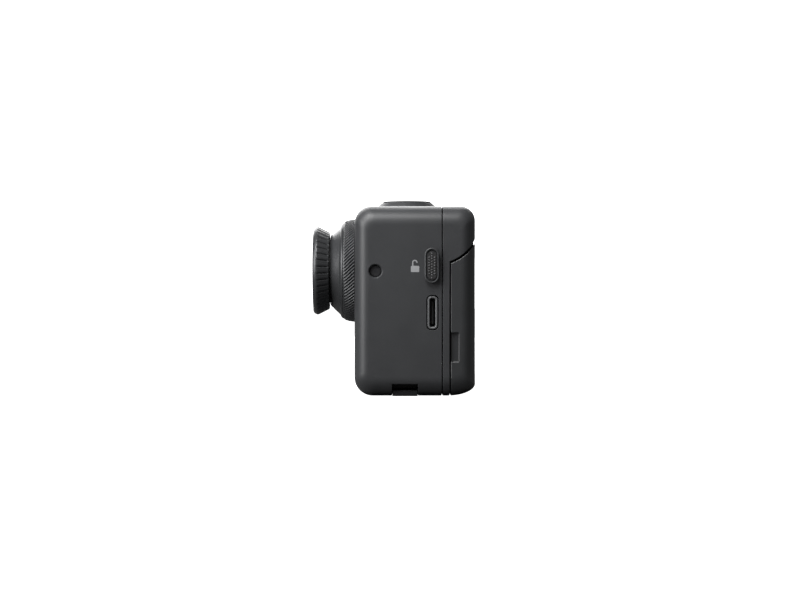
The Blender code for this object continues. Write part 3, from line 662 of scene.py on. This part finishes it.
def lock_slider():
    """The raised knob, its rubber pad and the pad's rows of dots, whose lighter grey is a painted highlight.
    """
    at = middle("lock_slider")
    centre, size = (at.x, at.z), (4.0, 9.7)
    stations = [(-36.2, 0.05), (-36.3, 0.0), (-37.0, 0.0), (-37.15, 0.04), (-37.26, 0.14), (-37.3, 0.28)]
    stations += [(-37.26, 0.42), (-37.15, 0.5), (-36.75, 0.52)]
    knob = slab("slider_knob", "Y", centre, size, 2.0, stations)
    stem = block("slider_stem", (6.5, 8.0), (-36.6, -33.5), (at.z - 1.7, at.z + 1.7))
    carve(knob, [("UNION", stem)])
    piece(knob, "housing", "lock", ["lock_slider"])
    stations = [(-36.85, 0.0), (-37.02, 0.0), (-37.1, 0.05), (-37.14, 0.16)]
    pad = slab("slider_pad", "Y", centre, (2.65, 7.8), 1.32, stations)
    piece(pad, "pad_base", "lock", ["lock_pad"])
    pitch, radius = 0.74, 0.22
    bm = bmesh.new()
    for column in (-1, 0, 1):
        shift = pitch / 2 if column == 0 else 0.0
        for row in range(-5, 6):
            u, v = column * pitch, row * pitch + shift
            if abs(v) > (3.35 if column == 0 else 2.75):
                continue
            dome = [(-37.08, radius), (-37.2, radius * 0.95), (-37.3, radius * 0.7), (-37.34, 0)]
            rings = []
            for y, r in dome[:3]:
                outline = circle((at.x + u, at.z + v), r, 12)
                rings.append([bm.verts.new(place("Y", y, *p)) for p in outline])
            tip = bm.verts.new(place("Y", dome[3][0], at.x + u, at.z + v))
            bm.faces.new(rings[0])
            for first, second in zip(rings, rings[1:]):
                for i in range(12):
                    j = (i + 1) % 12
                    bm.faces.new((first[i], first[j], second[j], second[i]))
            for i in range(12):
                bm.faces.new((rings[2][i], rings[2][(i + 1) % 12], tip))
    # The dots take the lighter grey look: a painted highlight on the dot tops.
    piece(raw("pad_dots", bm), "pad_dot", "lock")


def padlock_mark():
    """A plain open padlock, printed just proud of the side."""
    x, low, top = 2.67, 33.83, 37.18
    body = pill((x, low + 0.85), (2.3, 1.7), 0.28, steps=5)
    outer, inner = 0.74, 0.40
    centre = (x - 0.05, top - outer)
    loop = [(centre[0] - outer, low + 1.6)] + arc(centre, (outer, outer), 180, -12, 24)
    loop += arc(centre, (inner, inner), -12, 180, 24) + [(centre[0] - inner, low + 1.6)]
    mark = prism("lock_mark", body, "Y", -36.02, -35.9)
    carve(mark, [("UNION", prism("loop", loop, "Y", -36.02, -35.9))])
    piece(mark, "print", "camera_body")


# ---------------------------------------------------------------- ports, mount and door


def usb_port():
    at = middle("usb_shell")
    centre = (at.x, at.z)
    outer = [(-28.5, 0.0), (-35.6, 0.0), (-35.78, 0.05), (-35.88, 0.15), (-35.9, 0.26), (-35.9, 0.42)]
    inner = [(-35.86, 0.54), (-35.74, 0.62), (-35.5, 0.66), (-29.2, 0.66), (-29.2, 1.25), (-28.5, 1.25)]
    ring = slab("port_ring", "Y", centre, (2.8, 9.0), 1.1, outer + inner, closed=True)
    piece(ring, "port_metal", "camera_body", ["usb_shell"])
    tongue = slab("port_tongue", "Y", centre, (0.6, 6.4), 0.1, [(-29.5, 0.0), (-34.05, 0.0), (-34.2, 0.12)])
    piece(tongue, "chip", "camera_body", ["usb_tongue"])
    bm = bmesh.new()
    for side in (-1, 1):
        for k in range(12):
            z = at.z + (k - 5.5) * 0.5
            x = at.x + side * 0.31
            bmesh.ops.create_cube(bm, size=1.0)
            new = bm.verts[-8:]
            for v in new:
                v.co = Vector((x + v.co.x * 0.04, -32.4 + v.co.y * 2.4, z + v.co.z * 0.26)) * MM
    # The contacts use the darkened gold, painted shade for the inside of the port.
    piece(raw("port_contacts", bm), "contact", "camera_body")


def mic_port():
    at = middle("mic_mesh")
    profile = [(-34.6, 0), (-34.6, 1.5), (-34.88, 1.5), (-34.95, 1.42), (-34.98, 0.8), (-35.0, 0)]
    piece(turned("mic_gauze", profile, "Y", (at.x, at.z), 48), "mesh", "camera_body", ["mic_mesh"])


def mount_bar():
    low, high = extent("mount_plate")
    plate = block("mount_bar", (low.x, high.x), (low.y, high.y), (0, high.z))
    sink = [(-1, 0), (-1, 2.2), (0.55, 1.7), (0.8, 1.7), (0.8, 0.9), (3, 0.9), (3, 0)]
    tools = [turned(f"sink_{side}", sink, "Z", (0, 22 * side), 48) for side in (-1, 1)]
    for k in (-2, -1, 1, 2):
        tools.append(block(f"grip_{k}", (low.x - 1, high.x + 1), (4.0 * k - 0.25, 4.0 * k + 0.25), (-1, 0.2)))
    carve(plate, minus(*tools))
    edge_round(plate, 0.14)
    piece(plate, "hinge_alloy", "camera_body", ["mount_plate"])
    for side, name in ((-1, "left"), (1, "right")):
        outline = [(0.15, 0), (0.15, 1.6), (0.6, 1.6), (0.6, 0.6), (4.0, 0.6), (4.0, 0)]
        profile = soften(outline, 0.1, 3, ends=False)
        screw = turned(f"cross_screw_{name}", profile, "Z", (0, 22 * side), 48)
        cross = [block(f"slot_{k}", xs, ys, (-1, 0.42)) for k, (xs, ys) in enumerate((
            ((-0.85, 0.85), (22 * side - 0.16, 22 * side + 0.16)),
            ((-0.16, 0.16), (22 * side - 0.85, 22 * side + 0.85)),
        ))]
        carve(screw, minus(*cross))
        piece(screw, "steel", "camera_body", [f"mount_screw_{name}"])


def battery_door():
    low, high = extent("battery_door")
    knuckle, axis = 1.1, (34.9, low.z + 1.1)
    rise = math.degrees(math.acos(-0.2 / knuckle))
    outline = [(HALF_WIDTH, high.z), (34.7, high.z)] + arc(axis, (knuckle, knuckle), rise, 360, 28)
    door = prism("door_panel", outline, "X", low.x, high.x)
    centre = ((low.x + high.x) / 2, 0)
    grips = []
    for k in range(4):
        outline = pill((centre[0], high.z - 3.0 - 1.3 * k), (6.4, 0.55), 0.27)
        grips.append(prism(f"grip_{k}", outline, "Y", 35.75, 38))
    carve(door, minus(disc("bore", "X", axis, 0.75, low.x - 2, high.x + 2, 32)))
    edge_round(door, 0.14)
    carve(door, minus(*grips))
    piece(door, "housing", "door", ["battery_door"])


def front_window():
    low, high = extent("display_window")
    at = ((low.y + high.y) / 2, (low.z + high.z) / 2)
    stations = [(high.x, 0.0), (low.x + 0.3, 0.0), (low.x + 0.1, 0.08), (low.x, 0.3)]
    pane = slab("status_window", "X", at, (high.y - low.y, high.z - low.z), 1.8, stations)
    piece(pane, "screen_glass", "camera_body", ["display_window"])


# ---------------------------------------------------------------- inner CAD nodes keep their shape


def dress_inner_nodes():
    slots = {row["node"]: row["material_slot"] for row in frame["record"]["subparts"]}
    looks = {"clear_glass": "glass", "screen_glass": "screen_glass"}
    for name, obj in frame["nodes"].items():
        if obj.hide_render:
            continue
        look = looks.get(slots[name], slots[name])
        obj.data.materials.clear()
        obj.data.materials.append(LOOKS[look])
        obj.data.shade_smooth()
        obj.data.set_sharp_from_angle(angle=math.radians(32))


# ---------------------------------------------------------------- stage, light and camera


def add_floor():
    """A pale floor that looks white to the camera but throws little light up at the object."""
    bm = bmesh.new()
    bmesh.ops.create_circle(bm, cap_ends=True, segments=96, radius=6.0)
    floor = raw("floor", bm)
    floor.location.z = -0.0001
    material = bpy.data.materials.new("floor_white")
    material.use_nodes = True
    nodes, links = material.node_tree.nodes, material.node_tree.links
    nodes.clear()
    out = nodes.new("ShaderNodeOutputMaterial")
    seen = nodes.new("ShaderNodeAddShader")
    glow = nodes.new("ShaderNodeEmission")
    glow.inputs["Strength"].default_value = 1.20
    paint = nodes.new("ShaderNodeBsdfDiffuse")
    paint.inputs["Color"].default_value = (0.30, 0.30, 0.30, 1)
    dull = nodes.new("ShaderNodeBsdfDiffuse")
    dull.inputs["Color"].default_value = (0.10, 0.10, 0.10, 1)
    ray = nodes.new("ShaderNodeLightPath")
    mix = nodes.new("ShaderNodeMixShader")
    links.new(glow.outputs[0], seen.inputs[0])
    links.new(paint.outputs[0], seen.inputs[1])
    links.new(ray.outputs["Is Camera Ray"], mix.inputs[0])
    links.new(dull.outputs[0], mix.inputs[1])
    links.new(seen.outputs[0], mix.inputs[2])
    links.new(mix.outputs[0], out.inputs["Surface"])
    floor.data.materials.append(material)


def add_world():
    """White to the camera; for light, a soft sky that is darker below."""
    world = bpy.data.worlds.new("studio")
    bpy.context.scene.world = world
    world.use_nodes = True
    nodes, links = world.node_tree.nodes, world.node_tree.links
    nodes.clear()
    out = nodes.new("ShaderNodeOutputWorld")
    white = nodes.new("ShaderNodeBackground")
    white.inputs["Strength"].default_value = 3.0
    sky = nodes.new("ShaderNodeBackground")
    sky.inputs["Strength"].default_value = 0.30
    spot = nodes.new("ShaderNodeTexCoord")
    split = nodes.new("ShaderNodeSeparateXYZ")
    ramp = nodes.new("ShaderNodeValToRGB")
    ramp.color_ramp.elements[0].position = 0.30
    ramp.color_ramp.elements[0].color = (0.10, 0.10, 0.10, 1)
    ramp.color_ramp.elements[1].position = 0.75
    ramp.color_ramp.elements[1].color = (1, 1, 1, 1)
    half = nodes.new("ShaderNodeMapRange")
    half.inputs["From Min"].default_value = -1.0
    ray = nodes.new("ShaderNodeLightPath")
    mix = nodes.new("ShaderNodeMixShader")
    links.new(spot.outputs["Generated"], split.inputs[0])
    links.new(split.outputs["Z"], half.inputs["Value"])
    links.new(half.outputs["Result"], ramp.inputs["Fac"])
    links.new(ramp.outputs["Color"], sky.inputs["Color"])
    links.new(ray.outputs["Is Camera Ray"], mix.inputs[0])
    links.new(sky.outputs[0], mix.inputs[1])
    links.new(white.outputs[0], mix.inputs[2])
    links.new(mix.outputs[0], out.inputs["Surface"])


def add_light(name, location, target, size, power):
    data = bpy.data.lights.new(name, "AREA")
    data.shape = "DISK"
    data.size = size
    data.energy = power
    light = bpy.data.objects.new(name, data)
    light.location = location
    light.rotation_euler = (Vector(target) - Vector(location)).to_track_quat("-Z", "Y").to_euler()
    bpy.context.scene.collection.objects.link(light)


def add_lights():
    centre = (0.0, 0.0, 0.026)
    add_light("key", (-0.07, -0.14, 0.22), (0.0, -0.03, 0.04), 0.14, 0.72)
    add_light("front_soft", (-0.38, -0.22, 0.16), centre, 0.34, 2.2)
    add_light("back_soft", (-0.10, 0.80, 0.42), centre, 0.8, 8.0)


def add_camera():
    """Level with the middle of the body, square to its left side."""
    distance, focal = 0.636, 99.4
    data = bpy.data.cameras.new("camera")
    data.sensor_width = 36.0
    data.lens = focal
    data.clip_start, data.clip_end = 0.01, 50.0
    camera = bpy.data.objects.new("camera", data)
    camera.location = (-0.00141, -distance, 0.02625)
    camera.rotation_euler = (math.radians(90), 0, 0)
    bpy.context.scene.collection.objects.link(camera)
    bpy.context.scene.camera = camera


add_camera()
add_lights()
add_world()
add_floor()
front_shell()
rear_shell()
screen_tray()
hinge_arm()
base_ring()
lens_body()
lens_guard()
shutter()
power_key()
lock_slider()
padlock_mark()
usb_port()
mic_port()
mount_bar()
battery_door()
front_window()
dress_inner_nodes()
bpy.context.scene.view_settings.view_transform = "Standard"

bpy.context.view_layer.update()
